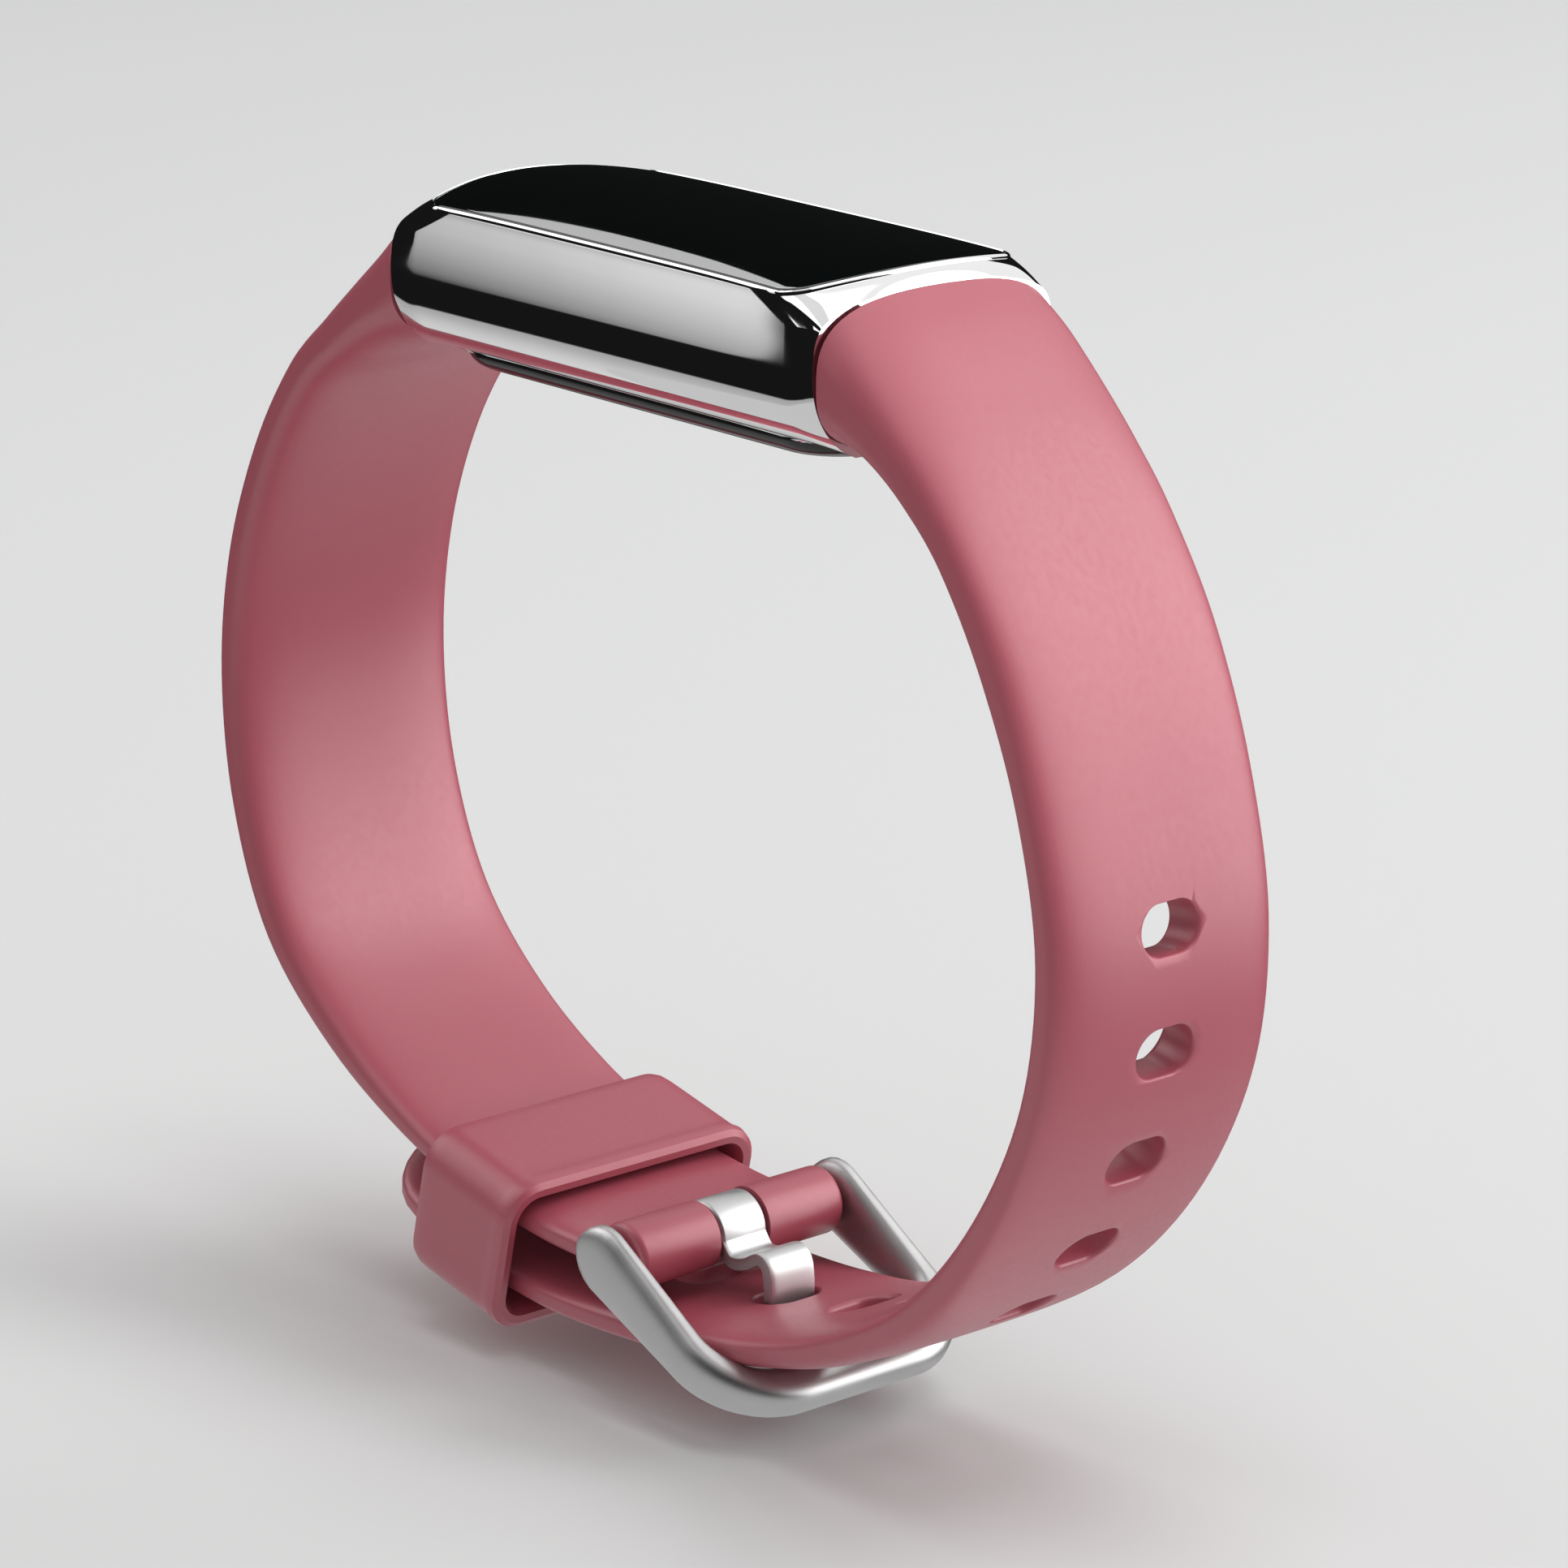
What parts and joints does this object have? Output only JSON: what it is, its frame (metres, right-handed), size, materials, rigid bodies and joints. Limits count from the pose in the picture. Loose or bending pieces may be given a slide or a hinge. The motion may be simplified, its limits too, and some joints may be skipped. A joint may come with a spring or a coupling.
{
  "type": "fitness tracker band",
  "caption": "Slim wrist tracker with a polished metal case and black cover glass on a closed elastomer band with a tang buckle and a loose keeper.",
  "frame": {"origin": "centre of the wrist opening, on the axis of the wrist", "axes": "+X along the tracker, towards the band half with the holes; +Y across the band; +Z from the wrist towards the cover glass"},
  "size_m": [0.0745, 0.0196, 0.0676],
  "materials": {
    "polished_steel": "mirror-polished steel",
    "cover_glass": "glossy black-backed glass",
    "display": "dark display stack",
    "gasket": "matte black foam",
    "inner_frame": "moulded, matte",
    "circuit_board": "solder-masked board",
    "chip": "moulded chip packages",
    "small_steel": "plain steel",
    "battery_pouch": "foil pouch",
    "flex_circuit": "polyimide film",
    "motor_weight": "dense sintered weight",
    "led": "clear encapsulant",
    "photodiode": "dark encapsulant",
    "sensor_window": "glossy dark window",
    "back_cover": "glossy black moulding",
    "contact_metal": "gold-plated",
    "elastomer": "matte, dusty rose",
    "connector": "glass-filled, matte",
    "buckle_steel": "satin steel"
  },
  "bodies": {
    "band": {"case_shell": "polished_steel", "cover_glass": "cover_glass", "glass_gasket": "gasket", "display_panel": "display", "display_flex": "flex_circuit", "mid_frame": "inner_frame", "main_board": "circuit_board", "board_chips": "chip", "shield_can": "small_steel", "battery": "battery_pouch", "battery_flex": "flex_circuit", "motor_can": "small_steel", "motor_spring": "small_steel", "antenna_flex": "flex_circuit", "sensor_board": "circuit_board", "sensor_flex": "flex_circuit", "leds": "led", "photodiodes": "photodiode", "light_barrier": "inner_frame", "sensor_window": "sensor_window", "back_cover": "back_cover", "back_gasket": "gasket", "charging_contacts": "contact_metal", "chassis_screws": "small_steel", "strap_buckle_side": "elastomer", "strap_hole_side": "elastomer", "connector_left": "connector", "connector_right": "connector", "latch_spring_left": "small_steel", "latch_spring_right": "small_steel", "bar_tube": "small_steel", "bar_spring": "small_steel"},
    "buckle_frame": {"buckle_frame": "buckle_steel"},
    "buckle_tang": {"buckle_tang": "buckle_steel"},
    "keeper": {"keeper": "elastomer"},
    "latch_left": {"latch_button_left": "small_steel"},
    "latch_right": {"latch_button_right": "small_steel"},
    "plunger_near": {"bar_plunger_near": "small_steel"},
    "plunger_far": {"bar_plunger_far": "small_steel"},
    "motor_mass": {"motor_mass": "motor_weight"}
  },
  "joints": [
    {"name": "frame_swing", "type": "hinge", "parent": "band", "child": "buckle_frame", "pos_m": [0.00133, 0, -0.03372], "axis": [0, 1, 0], "range_deg": [0, 4]},
    {"name": "tang_swing", "type": "hinge", "parent": "buckle_frame", "child": "buckle_tang", "pos_m": [0.00133, 0, -0.03372], "axis": [0, 1, 0], "range_deg": [0, 2]},
    {"name": "keeper_slide", "type": "slide", "parent": "band", "child": "keeper", "axis": [0.9781, 0, -0.2079], "range_m": [-0.0025, 0.002]},
    {"name": "latch_left_press", "type": "slide", "parent": "band", "child": "latch_left", "axis": [0, 0, 1], "range_m": [0, 0.0005], "stiffness_N_per_m": 600, "deforming": ["latch_spring_left"]},
    {"name": "latch_right_press", "type": "slide", "parent": "band", "child": "latch_right", "axis": [0, 0, 1], "range_m": [0, 0.0005], "stiffness_N_per_m": 600, "deforming": ["latch_spring_right"]},
    {"name": "plunger_near_press", "type": "slide", "parent": "band", "child": "plunger_near", "axis": [0, 1, 0], "range_m": [0, 0.0009], "stiffness_N_per_m": 500, "deforming": ["bar_spring"]},
    {"name": "plunger_far_press", "type": "slide", "parent": "band", "child": "plunger_far", "axis": [0, -1, 0], "range_m": [0, 0.0009], "stiffness_N_per_m": 500, "deforming": ["bar_spring"]},
    {"name": "motor_bounce", "type": "slide", "parent": "band", "child": "motor_mass", "axis": [0, 0, 1], "range_m": [-0.00015, 0.0002], "stiffness_N_per_m": 400, "deforming": ["motor_spring"]}
  ]
}
